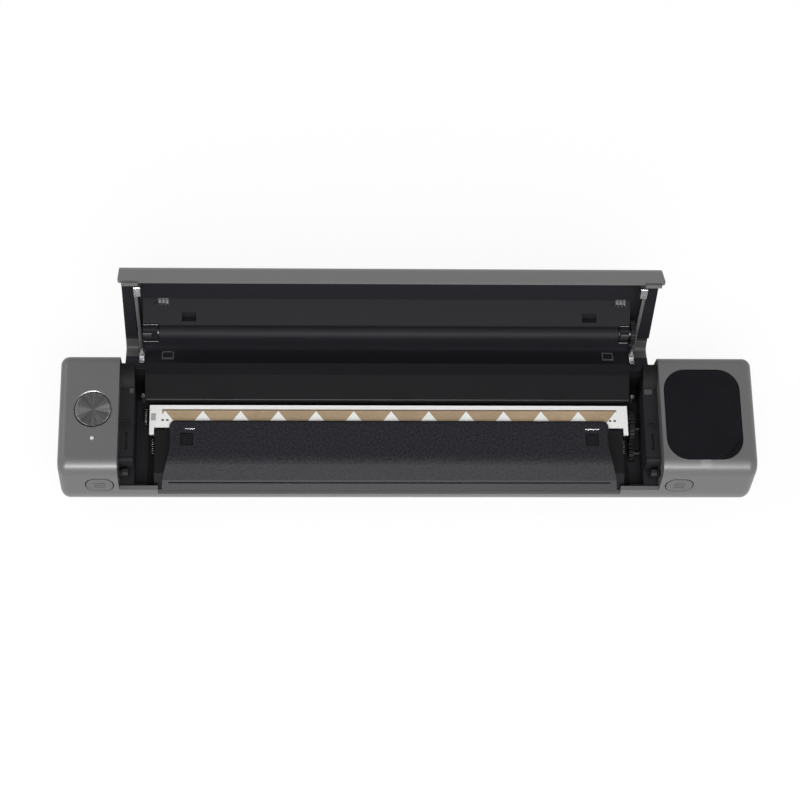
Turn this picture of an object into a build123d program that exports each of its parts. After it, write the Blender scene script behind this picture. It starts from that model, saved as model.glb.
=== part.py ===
from build123d import *
from math import cos, sin, radians, degrees, pi, atan2, hypot
import os

# Portable A4 thermal printer with a hinged cover, shown with the cover open.
# X runs along the printer, -Y is the front, +Z is up, and z = 0 is the table.
# The cover's pieces are drawn closed and then swung open about the hinge.

# ---- overall body ------------------------------------------------------------
print_width = 216.0             # the A4 print line sets every length along X
platen_margin = 3.0             # rubber past the print line at each end
head_margin = 4.15              # ceramic past the rubber at each end
bay_margin = 17.85              # from the rubber's ends to the bay walls
left_end_width = 28.1
right_end_width = 45.2
body_depth = 63.0
body_height = 40.0
platen_length = print_width + 2 * platen_margin
head_length = platen_length + 2 * head_margin
bay_width = platen_length + 2 * bay_margin
body_width = left_end_width + bay_width + right_end_width
front_top_radius = 8.0
front_bottom_radius = body_height - 24.0
front_slant = 15.0              # degrees that the front face leans from upright
rear_top_radius = 4.5
rear_bottom_radius = 4.5
end_radius = 4.2
case_wall = 2.0
case_floor = 3.6

# ---- bay between the two end housings ------------------------------------------
corner_sill_height = body_height - 17.8
middle_sill_height = body_height - 21.6
middle_sill_margin = 18.3       # from the bay wall to the lowered middle sill
cover_side_gap = 0.6
moving_gap = 0.35               # between pieces that move past each other
seat_gap = 0.1                  # between pieces that are fitted together

# ---- base plate --------------------------------------------------------------------
plate_thickness = 2.0
plate_margin = 9.0              # from the body's ends to the plate
plate_front_y = 18.5 - body_depth / 2
plate_rear_y = body_depth / 2 - 6.0
plate_corner = 5.0
plate_rim = 2.6
pad_length = 34.0
pad_width = 7.0
pad_depth = 0.8
pad_x = body_width / 2 - 43.5
screw_x = body_width / 2 - 15.5
screw_radius = 1.1
screw_head_radius = 2.2
screw_head_height = 1.2
screw_length = 8.0
boss_radius = 3.1
boss_height = 11.0

# ---- hinge and cover ------------------------------------------------------------------
hinge_bead_radius = 2.3
hinge_y = body_depth / 2 - hinge_bead_radius
hinge_z = body_height - 19.5
hinge_pin_radius = 1.0
hinge_pin_length = 12.0
hinge_pin_reach = 6.0           # how far the pin enters the cover's bead
pin_clearance = 0.05
cover_open_angle = 113.0
cover_wall = 1.6
cover_skirt_bottom = body_height - 16.0
skirt_corner = 1.2
rear_wall_drop = 4.4            # from the hinge axis down to the rear wall's top edge
liner_thickness = 1.5
liner_side_inset = 0.6
liner_front_y = 9.5 - body_depth / 2
liner_rear_y = body_depth / 2 - 9.3
side_rail_width = 5.6
side_rail_height = 3.4
side_rail_front_y = liner_front_y + 1.0
side_rail_rear_y = body_depth / 2 - 14.3
lip_tongue_length = 7.7
lip_tongue_drop = 1.4           # below the skirt's lower edge
lip_tongue_inset = 0.8          # from the skirt's face to the tongue's
lip_tongue_thickness = 1.8
skin_thickness = 0.5            # black skin behind the cover's rear corner
skin_end_top_z = body_height - 8.0
liner_tab = (6.0, 4.6, 1.6)     # width, depth and height
liner_tab_offset = 0.496 * platen_length
liner_notch_width = 6.9
brace_width = 1.6
brace_height = 1.1
brace_stand_off = 6.7           # from the liner to the rod's front end
clip_width = 3.1
bracket_width = 2.4

# ---- platen -------------------------------------------------------------------------------
platen_radius = 3.5
platen_shaft_radius = 2.0
platen_shaft_overhang = 7.4     # past the rubber at the end without the gear
bush_radius = 3.0
bush_length = 4.0
platen_y = 8.8
platen_head_gap = 0.35
cradle_wall = 0.9
cradle_ramp = 9.5               # from the liner down to the cradle's front lip
cradle_back_slope = 1.4
bearing_box_length = 7.0         # at the left end
gear_box_length = 4.6           # at the right end, beside the gear
bearing_box_bottom_z = body_height - 13.8

# ---- print head ------------------------------------------------------------------------------
head_top = body_height - 15.0
head_back_y = 11.2
head_front_y = 0.1
head_thickness = 1.2
head_leg_width = 2.2
head_leg_depth = 3.7
heatsink_thickness = 3.4
heatsink_inset = 1.0
head_travel = 0.8
head_spring_radius = 2.6
head_spring_wire = 0.5
head_spring_turns = 3
head_spring_spacing = 0.35 * platen_length

# ---- inner frame -----------------------------------------------------------------------------------
frame_wall = 1.8
frame_front_top_y = 9.0 - body_depth / 2
frame_front_top_z = body_height - 16.6
frame_front_bottom_z = body_height - 30.2
well_floor_z = body_height - 24.0
well_front_y = -0.6
well_back_y = 13.2
side_frame_width = 12.6
ledge_width = 6.9
ledge_top_z = body_height - 7.4
latch_recess_y = 11.3 - body_depth / 2
latch_recess_z = body_height - 19.0
channel_floor_z = body_height - 26.0
channel_wall_top_z = body_height - 9.4    # rear wall of the channels, ahead of the cover's bead
frame_end_notch = 3.6
ledge_rear_gap = 0.4             # to the cover's rail as it swings
ledge_boss_radius = 2.5
ledge_boss_height = 0.5
ledge_screw_y = -1.5

# ---- rear guide and front guide ------------------------------------------------------------------------
guide_lip = (13.7, body_height - 12.8)
guide_bend = (body_depth / 2 - 7.0, body_height - 8.2)
guide_top = (body_depth / 2 - 3.0, body_height - 3.2)
guide_thickness = 1.3
guide_left_margin = 11.5        # from the left bay wall to the guide's end
guide_gear_gap = 0.45           # from the guide's right end to the gears
guide_tab_width = 10.0
guide_tab_offsets = (-0.36 * platen_length, 5.8, 0.36 * platen_length)
front_guide_length = platen_length - 10.8
front_guide_flare = 3.4
front_guide_back_y = 3.2
front_guide_top_z = body_height - 13.0
front_guide_edge_y = 14.9 - body_depth / 2
front_guide_bend_radius = 12.0
front_guide_flare_y = front_guide_edge_y + 3.2    # the sides are straight behind this
front_guide_toe = (1.3 - body_depth / 2, body_height - 20.2)
front_guide_back_radius = 1.5
sensor_size = 6.2
sensor_y = -6.6
sensor_offset = platen_length / 2 - 13.8

# ---- gears ---------------------------------------------------------------------------------------------------
gear_module = 0.015 * body_height
gear_width = 2.2
platen_gear_teeth = 20
idler_gear_teeth = 28
pinion_teeth = 12
tooth_backlash = 0.3
tooth_addendum = 0.5            # in modules
tooth_dedendum = 0.9            # in modules
idler_lean = 24.5               # degrees that the idler sits forward of straight below
pinion_lean = 80.0
gear_from_bay = 10.15           # from the right bay wall to the gears
idler_pin_seat = 3.0            # length of the pin inside the side frame
motor_radius = 9.5
motor_length = 17.0
motor_floor_gap = 0.5
motor_shaft_radius = 1.0

# ---- controls ----------------------------------------------------------------------------------------------------
button_radius = 8.45
button_groove = 0.35
button_y = 3.9
button_inset = 16.2             # from the left end of the body to the button's axis
button_travel = 0.6
button_dish = 0.35
button_thickness = 3.6
button_flange = 1.0
ring_width = 0.6
ring_height = 1.4
light_radius = 0.9
light_spacing = 14.3
display_width = 36.4
display_depth = 45.2
display_radius = 10.5
display_inset = 25.1
display_y = 2.0
display_thickness = 1.1
film_thickness = 0.12
film_tab_width = 4.9
film_tab_length = 3.4
film_tab_offset = -2.5          # from the display's middle to the tab's left edge
pill_width = 12.6
pill_height = 9.8
pill_radius = 4.4
pill_gap = 0.5
pill_flange = 1.3
pill_mid_z = body_height - 13.7
pill_proud = 0.25
pill_from_bay_left = 8.9
pill_from_bay_right = 9.1
pill_travel = 1.2
slider_y = (6.7 - body_depth / 2, 9.3 - body_depth / 2)
slider_z = (body_height - 17.2, body_height - 13.2)
slider_reach = 4.4              # past the bay wall
latch_nose_height = 2.2
port_width = 8.9
port_height = 3.2
port_depth = 7.0
port_wall = 0.35
port_y = 6.0
port_z = 14.0

# ---- inner pieces --------------------------------------------------------------------------------------------------------
cell_length = 65.0
cell_floor_gap = 0.2
cell_roof_gap = 1.4             # from the cells up to the inner frame's deck
board_length = 150.0
board_depth = 20.0
board_thickness = 1.6
board_front_y = 3.5
board_z = 7.0

# ---- values worked out from the driving sizes -------------------------------------------------------------------------------
left_x = -body_width / 2
right_x = body_width / 2
front_y = -body_depth / 2
rear_y = body_depth / 2
bay_left = left_x + left_end_width
bay_right = right_x - right_end_width
bay_mid = (bay_left + bay_right) / 2
inner_front_y = front_y + case_wall + 0.83      # foremost line of the inner mouldings
inner_rear_y = hinge_y - hinge_bead_radius - 0.7
cover_left = bay_left + cover_side_gap
cover_right = bay_right - cover_side_gap
platen_z = head_top + platen_head_gap + platen_radius
liner_z = body_height - cover_wall - liner_thickness
cell_bottom_z = case_floor + cell_floor_gap
cell_top_z = frame_front_top_z - frame_wall - cell_roof_gap
cell_radius = (cell_top_z - cell_bottom_z) / 2
cell_z = (cell_top_z + cell_bottom_z) / 2
cell_y = front_y + 11.9 + cell_radius / 2
hinge_line = Axis((0, hinge_y, hinge_z), (1, 0, 0))


# ---- helpers ---------------------------------------------------------------------
def rounded_outline(points, radii):
    """Closed flat outline whose corners are rounded, each by its own radius."""
    outline = Polygon(*points, align=None)
    for (u, v), radius in zip(points, radii):
        if radius > 0:
            corner = outline.vertices().sort_by_distance((u, v, 0))[0]
            outline = fillet(corner, radius)
    return outline


def along_x(outline, x0, x1):
    """Extrude an outline drawn in Y and Z from x0 to x1."""
    return extrude(Plane.YZ.offset(x0) * outline, x1 - x0, dir=(1, 0, 0))


def block(x0, x1, y0, y1, z0, z1):
    return Pos((x0 + x1) / 2, (y0 + y1) / 2, (z0 + z1) / 2) * Box(x1 - x0, y1 - y0, z1 - z0)


def rod_x(radius, y, z, x0, x1):
    """Round bar along X."""
    return along_x(Pos(y, z) * Circle(radius), x0, x1)


def pin_z(radius, x, y, z0, z1):
    return Pos(x, y, (z0 + z1) / 2) * Cylinder(radius, z1 - z0)


def mirrored(shape):
    """The same piece at the other end of the bay."""
    return mirror(shape, Plane.YZ.offset(bay_mid))


def opened(shape):
    """Swing a cover piece from closed to the open rest position."""
    return shape.rotate(hinge_line, -cover_open_angle)


def swung(y, z):
    """Open position of a point that is given with the cover closed."""
    turn = radians(-cover_open_angle)
    dy, dz = y - hinge_y, z - hinge_z
    return hinge_y + dy * cos(turn) - dz * sin(turn), hinge_z + dy * sin(turn) + dz * cos(turn)


# ---- body profile ------------------------------------------------------------------
def front_line(z, inset=0.0):
    """Y of the slanted front face at height z."""
    slant = radians(front_slant)
    centre_y = front_y + front_bottom_radius
    reach = (1 + sin(slant)) * front_bottom_radius - cos(slant) * centre_y - inset
    return (z * sin(slant) - reach) / cos(slant)


def body_section(inset=0.0, floor=None):
    """Side profile of the body, set in by a wall."""
    bottom = inset if floor is None else floor
    top = body_height - inset
    points = [
        (rear_y - inset, bottom),
        (rear_y - inset, top),
        (front_line(top, inset), top),
        (front_line(bottom, inset), bottom),
    ]
    radii = [rear_bottom_radius, rear_top_radius, front_top_radius, front_bottom_radius]
    return rounded_outline(points, [radius - inset for radius in radii])


def front_face_plane(x, z):
    """Plane on the slanted front face, looking out of it."""
    slant = radians(front_slant)
    return Plane((x, front_line(z), z), x_dir=(1, 0, 0), z_dir=(0, -cos(slant), sin(slant)))


# ---- outer case and base plate -------------------------------------------------------------
def screw_spots():
    """Base plate screws, two under each end housing."""
    return [(x, y) for x in (-screw_x, screw_x) for y in (plate_front_y + 6.5, plate_rear_y - 6.5)]


def pad_spots():
    return [(x, y) for x in (-pad_x, pad_x) for y in (plate_front_y + 6.5, plate_rear_y - 6.5)]


def plate_outline(grow=0.0):
    width = body_width - 2 * plate_margin + 2 * grow
    depth = plate_rear_y - plate_front_y + 2 * grow
    middle = (plate_rear_y + plate_front_y) / 2
    return Pos(0, middle) * RectangleRounded(width, depth, plate_corner + grow)


def display_outline(grow=0.0):
    spot = Pos(right_x - display_inset, display_y)
    return spot * RectangleRounded(display_width + 2 * grow, display_depth + 2 * grow,
                                   display_radius + grow)


def pill_outline(grow=0.0):
    return RectangleRounded(pill_width + 2 * grow, pill_height + 2 * grow, pill_radius + grow)


def pill_spots():
    return [bay_left - pill_from_bay_left, bay_right + pill_from_bay_right]


def port_outline(grow=0.0):
    width, height = port_width + 2 * grow, port_height + 2 * grow
    return SlotOverall(width, height)


def latch_window(x0, x1):
    """Slot in a bay wall that the latch slider crosses, with room for its travel."""
    slant = radians(front_slant)
    return block(x0, x1, slider_y[0] - moving_gap,
                 slider_y[1] + moving_gap + pill_travel * cos(slant),
                 slider_z[0] - moving_gap - pill_travel * sin(slant),
                 slider_z[1] + latch_nose_height + moving_gap)


def outer_case():
    body = along_x(body_section(), left_x, right_x)
    body = fillet(body.faces().filter_by(Axis.X).edges(), end_radius)
    room = body_section(case_wall, case_floor)
    body -= along_x(room, left_x + case_wall, bay_left - case_wall)
    body -= along_x(room, bay_right + case_wall, right_x - case_wall)
    body -= along_x(room, bay_left, bay_right)
    above = body_height + 1
    body -= block(bay_left, bay_right, front_y - 1, 0, corner_sill_height, above)
    body -= block(bay_left + middle_sill_margin, bay_right - middle_sill_margin,
                  front_y - 1, 0, middle_sill_height, above)
    body -= block(bay_left, bay_right, -1, rear_y + 1, hinge_z - rear_wall_drop, above)
    body -= extrude(plate_outline(seat_gap), plate_thickness)
    body -= block(bay_left + plate_rim, bay_right - plate_rim, plate_front_y + plate_rim,
                  plate_rear_y - plate_rim, 0, case_floor)
    for x, y in screw_spots():
        body += pin_z(boss_radius, x, y, plate_thickness, boss_height)
        body -= pin_z(screw_radius, x, y, 0, boss_height - 1)
    # openings in the top
    bx = left_x + button_inset
    body -= pin_z(button_radius + button_groove, bx, button_y, body_height - 3, above)
    body -= pin_z(button_radius + button_groove + ring_width, bx, button_y,
                  body_height - ring_height, above)
    body -= pin_z(light_radius, bx, button_y - light_spacing, body_height - 3, above)
    body -= Pos(0, 0, body_height - display_thickness) * extrude(display_outline(seat_gap), 3)
    # openings in the front, the left end and the bay walls
    for x in pill_spots():
        body -= extrude(front_face_plane(x, pill_mid_z) * pill_outline(pill_gap), 4, both=True)
    port = Plane((left_x, port_y, port_z), x_dir=(0, 1, 0), z_dir=(-1, 0, 0))
    body -= extrude(port * port_outline(0.1), 3, both=True)
    body -= latch_window(bay_left - 3, bay_left + 1)
    body -= latch_window(bay_right - 1, bay_right + 3)
    boss = hinge_pin_length - hinge_pin_reach - cover_side_gap
    for x0, x1 in ((bay_left - boss, bay_left), (bay_right, bay_right + boss)):
        body += rod_x(hinge_bead_radius, hinge_y, hinge_z, x0, x1)
        body -= rod_x(hinge_pin_radius, hinge_y, hinge_z, x0, x1)
    my, mz = gear_centres()[2]
    body -= rod_x(motor_shaft_radius + moving_gap, my, mz, bay_right - 1, bay_right + 3)
    return body


def base_plate():
    plate = extrude(plate_outline(), plate_thickness)
    for x, y in pad_spots():
        plate -= extrude(Pos(x, y) * SlotOverall(pad_length, pad_width), pad_depth)
    for x, y in screw_spots():
        plate -= pin_z(screw_radius + 0.2, x, y, 0, plate_thickness)
        plate -= pin_z(screw_head_radius + 0.2, x, y, 0, screw_head_height)
    for i in range(-4, 5):
        plate -= Pos(bay_mid + i * 9.0, -1.0, 0) * extrude(SlotOverall(14, 2.0, 90), plate_thickness)
    return plate


def anti_slip_pads():
    return Compound(children=[extrude(Pos(x, y) * SlotOverall(pad_length, pad_width), pad_depth)
                              for x, y in pad_spots()])


def base_screws():
    screws = []
    for x, y in screw_spots():
        screw = pin_z(screw_head_radius, x, y, 0.2, screw_head_height)
        screw += pin_z(screw_radius, x, y, screw_head_height, screw_length)
        screw -= pin_z(0.7, x, y, 0.2, 0.8)
        screws.append(screw)
    return Compound(children=screws)


# ---- gears -----------------------------------------------------------------------------------
def pitch_radius(teeth):
    return gear_module * teeth / 2


def gear_centres():
    """Platen gear with the cover closed, idler and motor pinion, each as (y, z)."""
    reach = pitch_radius(platen_gear_teeth) + pitch_radius(idler_gear_teeth)
    iy = platen_y - reach * sin(radians(idler_lean))
    iz = platen_z - reach * cos(radians(idler_lean))
    reach = pitch_radius(idler_gear_teeth) + pitch_radius(pinion_teeth)
    my = iy - reach * sin(radians(pinion_lean))
    mz = iz - reach * cos(radians(pinion_lean))
    return (platen_y, platen_z), (iy, iz), (my, mz)


def gear_outline(teeth, first_tooth):
    """Toothed outline with one tooth centred at the angle first_tooth, in degrees."""
    pitch = pitch_radius(teeth)
    tip, root = pitch + tooth_addendum * gear_module, pitch - tooth_dedendum * gear_module
    half = (pi * gear_module / 2 - tooth_backlash) / 2
    points = []
    for i in range(teeth):
        middle = radians(first_tooth) + 2 * pi * i / teeth
        for radius, width in ((root, -1.35 * half), (tip, -0.6 * half),
                              (tip, 0.6 * half), (root, 1.35 * half)):
            angle = middle + width / pitch
            points.append((radius * cos(angle), radius * sin(angle)))
    return Polygon(*points, align=None)


def gear_phases():
    """First tooth angle of each gear, so that every tooth faces a gap."""
    platen, idler, pinion = gear_centres()
    to_idler = degrees(atan2(idler[1] - platen[1], idler[0] - platen[0]))
    idler_step = 360 / idler_gear_teeth
    idler_first = to_idler + 180 + idler_step / 2
    to_pinion = degrees(atan2(pinion[1] - idler[1], pinion[0] - idler[0]))
    lag = (idler_first - to_pinion) % idler_step
    pinion_first = to_pinion + 180 - lag * idler_gear_teeth / pinion_teeth
    return to_idler, idler_first, pinion_first + 180 / pinion_teeth


def gear_span():
    return bay_right - gear_from_bay - gear_width, bay_right - gear_from_bay


def toothed_wheel(teeth, centre, phase, bore):
    x0, x1 = gear_span()
    wheel = along_x(Pos(*centre) * gear_outline(teeth, phase), x0, x1)
    rim = pitch_radius(teeth) - 1.9 * gear_module
    hub = bore + 1.3
    if rim - hub > 1.5:
        ring = Pos(*centre) * (Circle(rim) - Circle(hub))
        wheel -= along_x(ring, x0, x0 + 0.9) + along_x(ring, x1 - 0.9, x1)
    return wheel - rod_x(bore, *centre, x0, x1)


def idler_gear():
    return toothed_wheel(idler_gear_teeth, gear_centres()[1], gear_phases()[1],
                         motor_shaft_radius + pin_clearance)


def idler_pin():
    """Pin that stands in the right side frame's ledge and carries the idler."""
    return rod_x(motor_shaft_radius, *gear_centres()[1], gear_span()[0] - 0.2,
                 bay_right - ledge_width + idler_pin_seat)


def motor_pinion():
    return toothed_wheel(pinion_teeth, gear_centres()[2], gear_phases()[2], motor_shaft_radius)


def motor_shaft():
    """Shaft that runs from the motor through the bay wall and the ledge to the pinion."""
    shaft_end = bay_right + case_wall + seat_gap + 1.5
    return rod_x(motor_shaft_radius, *gear_centres()[2], gear_span()[0], shaft_end)


def drive_motor():
    my, mz = gear_centres()[2]
    x0 = bay_right + case_wall
    radius = min(motor_radius, mz - case_floor - motor_floor_gap)
    motor = rod_x(radius, my, mz, x0, x0 + motor_length)
    motor = chamfer(motor.edges().filter_by(GeomType.CIRCLE), 0.6)
    ears = Pos(my, mz) * SlotOverall(2 * radius + 8, 6)
    motor += along_x(ears, x0, x0 + 1.0)
    motor -= rod_x(motor_shaft_radius + pin_clearance, my, mz, x0, x0 + 2.0)
    return motor


# ---- inner frame, side frames and guides ----------------------------------------------------------
def inside_case(points):
    """Outline kept a seat gap inside the case's floor and walls."""
    return Polygon(*points, align=None) & body_section(case_wall + seat_gap, case_floor + seat_gap)


def frame_front():
    """Lower and front points that the inner mouldings share."""
    low = case_floor + front_bottom_radius - case_wall
    return [(front_y, case_floor), (front_y, low), (inner_front_y, low),
            (inner_front_y + 0.27, middle_sill_height)]


def frame_rear():
    """Rear points that the inner mouldings share, clear of the cover's bead."""
    return [(inner_rear_y, hinge_z + 2.1), (inner_rear_y, case_floor)]


def inner_frame():
    points = frame_front() + [
        (frame_front_top_y, frame_front_top_z),
        (well_front_y, frame_front_top_z),
        (well_front_y, well_floor_z),
        (well_back_y, well_floor_z),
        (well_back_y, guide_lip[1] - 1.45),
        (guide_bend[0] + 0.4, guide_bend[1] - 1.8),
        (guide_top[0] - 0.75, guide_top[1] - 3.0),
        (guide_top[0] - 0.75, hinge_z + 3.9),
    ] + frame_rear()
    outline = inside_case(points)
    room = offset(outline, -frame_wall, kind=Kind.INTERSECTION)
    x0 = bay_left + side_frame_width + seat_gap
    x1 = bay_right - side_frame_width - seat_gap
    frame = along_x(outline, x0, x1)
    frame -= along_x(room + Pos(0, -frame_wall) * room, x0 + frame_wall, x1 - frame_wall)
    frame -= block(x0 - 1, x1 + 1, front_y, well_front_y - frame_wall, 0, frame_front_bottom_z)
    notch = block(x0 - 1, x0 + frame_end_notch, front_y, well_front_y, channel_floor_z, body_height)
    frame -= notch + mirrored(notch)
    floor = along_x(inside_case([(front_y, channel_floor_z - frame_wall), (front_y, channel_floor_z),
                                 (well_front_y, channel_floor_z),
                                 (well_front_y, channel_floor_z - frame_wall)]),
                    x0, x0 + frame_end_notch + frame_wall)
    wall = along_x(inside_case([(front_y, frame_front_bottom_z)] + frame_front()[1:] +
                               [(frame_front_top_y, frame_front_top_z),
                                (well_front_y, frame_front_top_z),
                                (well_front_y, frame_front_bottom_z)]),
                   x0 + frame_end_notch, x0 + frame_end_notch + frame_wall)
    end = floor + wall
    return frame + end + mirrored(end)


def side_frame(right=False):
    """Black side moulding: a ledge beside the bay wall and a channel inside it."""
    x0 = bay_left + seat_gap
    x1 = bay_left + ledge_width
    x2 = bay_left + side_frame_width
    ledge_points = frame_front() + [
        (inner_front_y + 0.67, latch_recess_z),
        (latch_recess_y, latch_recess_z),
        (latch_recess_y, ledge_top_z),
        (side_rail_rear_y, ledge_top_z),
        (side_rail_rear_y, body_height - cover_wall - moving_gap),
        (guide_top[0] - 1.0, body_height - cover_wall - moving_gap),
        (guide_top[0] - 0.5, body_height - cover_wall - moving_gap - 0.5),
        (guide_top[0] - 0.5, hinge_z + 3.9),
    ] + frame_rear()
    # the raised rear end is round about the hinge, inside the path of the cover's rail
    rail_path = hypot(side_rail_rear_y - hinge_y, liner_z - side_rail_height - hinge_z)
    raised = Pos(hinge_y, hinge_z) * Circle(rail_path - ledge_rear_gap)
    low = Pos(0, ledge_top_z / 2) * Rectangle(2 * body_depth, ledge_top_z)
    ledge = along_x(inside_case(ledge_points) & (raised + low), x0, x1)
    channel = along_x(inside_case([(front_y, case_floor), (front_y, channel_floor_z),
                                   (inner_rear_y, channel_floor_z), (inner_rear_y, case_floor)]), x1, x2)
    lip = inner_front_y + 2.3
    channel += along_x(inside_case([(front_y, channel_floor_z)] + frame_front()[1:3] +
                                   [(inner_front_y + 0.67, middle_sill_height + 0.6),
                                    (lip, middle_sill_height + 0.6), (lip, channel_floor_z)]), x1, x2)
    # low wall at the channel's rear end, beside the rear guide
    wall_y = inner_rear_y - frame_wall
    rear_wall = Polygon((wall_y, channel_floor_z), (wall_y, channel_wall_top_z),
                        (guide_top[0] - 0.75, channel_wall_top_z), (guide_top[0] - 0.75, hinge_z + 3.9),
                        (inner_rear_y, hinge_z + 2.1), (inner_rear_y, channel_floor_z), align=None)
    wall_end = x2 if right else bay_left + guide_left_margin - seat_gap
    side = ledge + channel + along_x(rear_wall, x1, wall_end)
    # a cross rib, the screw's boss and a slot along the ledge
    side += along_x(Polygon((-19.6, ledge_top_z), (-18.2, ledge_top_z + 0.55),
                            (-17.0, ledge_top_z), align=None), x0, x1)
    screw_x = x0 + ledge_width / 2
    side += pin_z(ledge_boss_radius, screw_x, ledge_screw_y, ledge_top_z, ledge_top_z + ledge_boss_height)
    side -= pin_z(ledge_boss_radius - 0.8, screw_x, ledge_screw_y, ledge_top_z - 1.0, body_height)
    side -= block(screw_x - 0.6, screw_x + 0.6, -13.5, -5.0, ledge_top_z - 1.4, body_height)
    if right:
        side = mirrored(side)
        gx0, gx1 = gear_span()
        idler, pinion = gear_centres()[1:]
        for centre, teeth in ((idler, idler_gear_teeth), (pinion, pinion_teeth)):
            room = pitch_radius(teeth) + gear_module + moving_gap
            side -= rod_x(room, *centre, gx0 - moving_gap, gx1 + moving_gap)
        side -= rod_x(motor_shaft_radius, *idler, gx0, bay_right - ledge_width + idler_pin_seat)
        side -= rod_x(motor_shaft_radius + moving_gap, *pinion, gx0, bay_right)
    return side


def ledge_screws():
    x, y, top = bay_left + seat_gap + ledge_width / 2, ledge_screw_y, ledge_top_z - 0.1
    screw = pin_z(ledge_boss_radius - 0.8 - 0.2, x, y, ledge_top_z - 1.0, top)
    screw -= block(x - 1.1, x + 1.1, y - 0.25, y + 0.25, top - 0.4, body_height)
    screw -= block(x - 0.25, x + 0.25, y - 1.1, y + 1.1, top - 0.4, body_height)
    return Compound(children=[screw, mirrored(screw)])


def rear_guide():
    lean = atan2(guide_bend[1] - guide_lip[1], guide_bend[0] - guide_lip[0])
    drop = guide_thickness / cos(lean)
    points = [
        guide_lip,
        guide_bend,
        guide_top,
        (guide_top[0], guide_top[1] - 1.8),
        (guide_bend[0] + 0.6, guide_bend[1] - drop),
        (guide_lip[0], guide_lip[1] - 1.2),
    ]
    x0, x1 = bay_left + guide_left_margin, gear_span()[0] - guide_gear_gap
    guide = along_x(Polygon(*points, align=None), x0, x1)
    for middle in guide_tab_offsets:
        x = bay_mid + middle
        tab = Polygon((guide_lip[0] - 0.3, guide_lip[1] - 0.7), (guide_lip[0] + 0.2, guide_lip[1] + 0.4),
                      (guide_lip[0] + 2.4, guide_lip[1] + 1.3), (guide_lip[0] + 2.4, guide_lip[1]),
                      align=None)
        guide += along_x(tab, x - guide_tab_width / 2, x + guide_tab_width / 2)
    return guide


def front_guide():
    """Curved ramp that leads the paper from the print head to the front slot."""
    toe_y, toe_z = front_guide_toe
    points = [
        (front_guide_back_y, frame_front_top_z + seat_gap),
        (front_guide_back_y, front_guide_top_z),
        (front_guide_edge_y, front_guide_top_z),
        (toe_y + 4.3, toe_z + 3.2),
        (toe_y, toe_z),
        (toe_y + 0.3, middle_sill_height + 0.2),
        (toe_y + 1.5, middle_sill_height + 0.2),
        (frame_front_top_y, frame_front_top_z + seat_gap),
    ]
    radii = [0, 0, front_guide_bend_radius, 0, 0, 0, 0, 0]
    half = front_guide_length / 2
    reach = half + front_guide_flare + 5
    ramp = along_x(rounded_outline(points, radii), bay_mid - reach, bay_mid + reach)
    # seen from above the sides flare towards the toe
    beside = Polygon((half, 4), (half, front_guide_flare_y),
                     (half + 0.85 * front_guide_flare, toe_y + 5.0),
                     (half + front_guide_flare, toe_y - 1), (half + 10, toe_y - 1), (half + 10, 4),
                     align=None)
    side_cut = extrude(Pos(bay_mid, 0, 0) * beside, 60, dir=(0, 0, 1))
    ramp = ramp - side_cut - mirrored(side_cut)
    ramp = fillet(ramp.edges().filter_by(Axis.Z).group_by(Axis.Y)[-1], 3.0)
    top_edges = ramp.faces().sort_by(Axis.Z)[-1].edges()
    ramp = fillet(top_edges.group_by(Axis.Y)[-1], front_guide_back_radius)
    # shallow groove along the toe, and the sensor windows
    ramp -= block(bay_mid - half, bay_mid + half, toe_y + 3.0, toe_y + 3.6, toe_z + 1.9, body_height)
    for side in (-1, 1):
        x = bay_mid + side * sensor_offset
        ramp -= block(x - sensor_size / 2, x + sensor_size / 2, sensor_y - sensor_size / 2,
                      sensor_y + sensor_size / 2, front_guide_top_z - 1.2, body_height)
    under = block(bay_mid - half - 9, bay_mid + half + 9, well_front_y - seat_gap,
                  front_guide_back_y + 1, 0, head_top + moving_gap)
    return ramp - under


def sensor_windows():
    windows = []
    for side in (-1, 1):
        x = bay_mid + side * sensor_offset
        size = sensor_size / 2 - 0.35
        window = block(x - size, x + size, sensor_y - size, sensor_y + size,
                       front_guide_top_z - 1.2, front_guide_top_z - 0.25)
        window -= block(x - size + 0.8, x + size - 0.8, sensor_y - size + 0.8, sensor_y + size - 0.8,
                        front_guide_top_z - 0.55, front_guide_top_z)
        windows.append(window)
    return Compound(children=windows)


# ---- print head --------------------------------------------------------------------------------------
def print_head():
    half = head_length / 2
    head = block(bay_mid - half, bay_mid + half, head_front_y, head_back_y,
                 head_top - head_thickness, head_top)
    legs = [block(bay_mid + side * (half - head_leg_width / 2) - head_leg_width / 2,
                  bay_mid + side * (half - head_leg_width / 2) + head_leg_width / 2,
                  head_front_y - head_leg_depth, head_front_y,
                  head_top - head_thickness, head_top) for side in (-1, 1)]
    for leg in legs:
        head += leg
    line_y = platen_y
    glaze = along_x(Pos(line_y, head_top) * Ellipse(0.9, 0.06), bay_mid - half + 6, bay_mid + half - 6)
    return head + glaze


def head_heatsink():
    half = head_length / 2 - heatsink_inset
    top = head_top - head_thickness
    sink = block(bay_mid - half, bay_mid + half, head_front_y + 0.6, head_back_y - 0.4,
                 top - heatsink_thickness, top)
    for y in (2.0, 5.0, 8.0):
        sink -= block(bay_mid - half - 1, bay_mid + half + 1, y, y + 1.4,
                      top - heatsink_thickness, top - heatsink_thickness + 1.6)
    return sink


def head_spring():
    """Two coil springs that press the head up against the platen."""
    top = head_top - head_thickness - heatsink_thickness
    height = top - well_floor_z
    pitch = (height - head_spring_wire) / head_spring_turns
    coils = []
    for side in (-1, 0, 1):
        x = bay_mid + side * head_spring_spacing
        path = Helix(pitch=pitch, height=pitch * head_spring_turns, radius=head_spring_radius)
        start = path @ 0
        wire = Plane(origin=start, z_dir=path % 0) * Circle(head_spring_wire / 2)
        coil = sweep(wire, path=path)
        coils.append(Pos(x, 5.0, well_floor_z + head_spring_wire / 2) * coil)
    return Compound(children=coils)


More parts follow.
